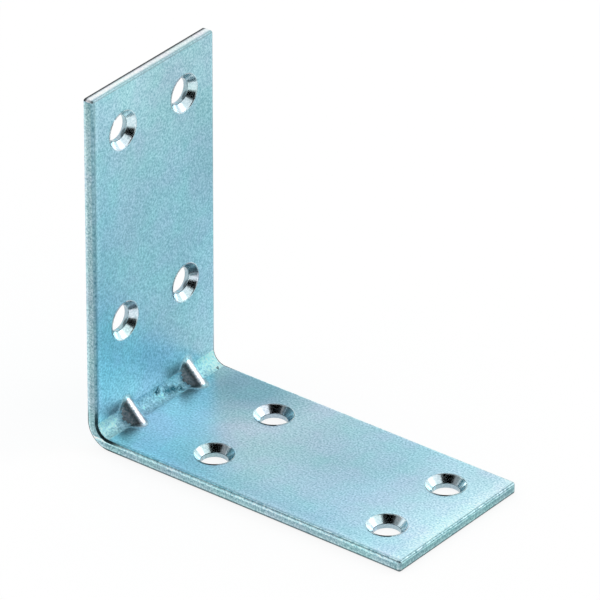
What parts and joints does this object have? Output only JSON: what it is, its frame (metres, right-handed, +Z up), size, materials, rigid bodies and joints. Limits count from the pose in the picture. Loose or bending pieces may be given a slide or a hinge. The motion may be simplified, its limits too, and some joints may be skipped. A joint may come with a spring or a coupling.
{
  "type": "corner brace bracket",
  "caption": "Wide L-shaped corner brace of zinc-plated steel sheet, with countersunk screw holes in both legs and stiffening ribs pressed across the bend.",
  "frame": {"origin": "on the underside of the flat leg, under the middle of the space that the bracket fills", "axes": "+X runs along the flat leg from the bend to its free end, +Y across the width, +Z up the standing leg; the inside of the corner faces +X and +Z"},
  "size_m": [0.08, 0.0384, 0.08],
  "materials": {
    "zinc_plate": "satin electro-zinc plating with a pale blue passivation"
  },
  "bodies": {
    "root": {"bracket": "zinc_plate"}
  },
  "joints": []
}
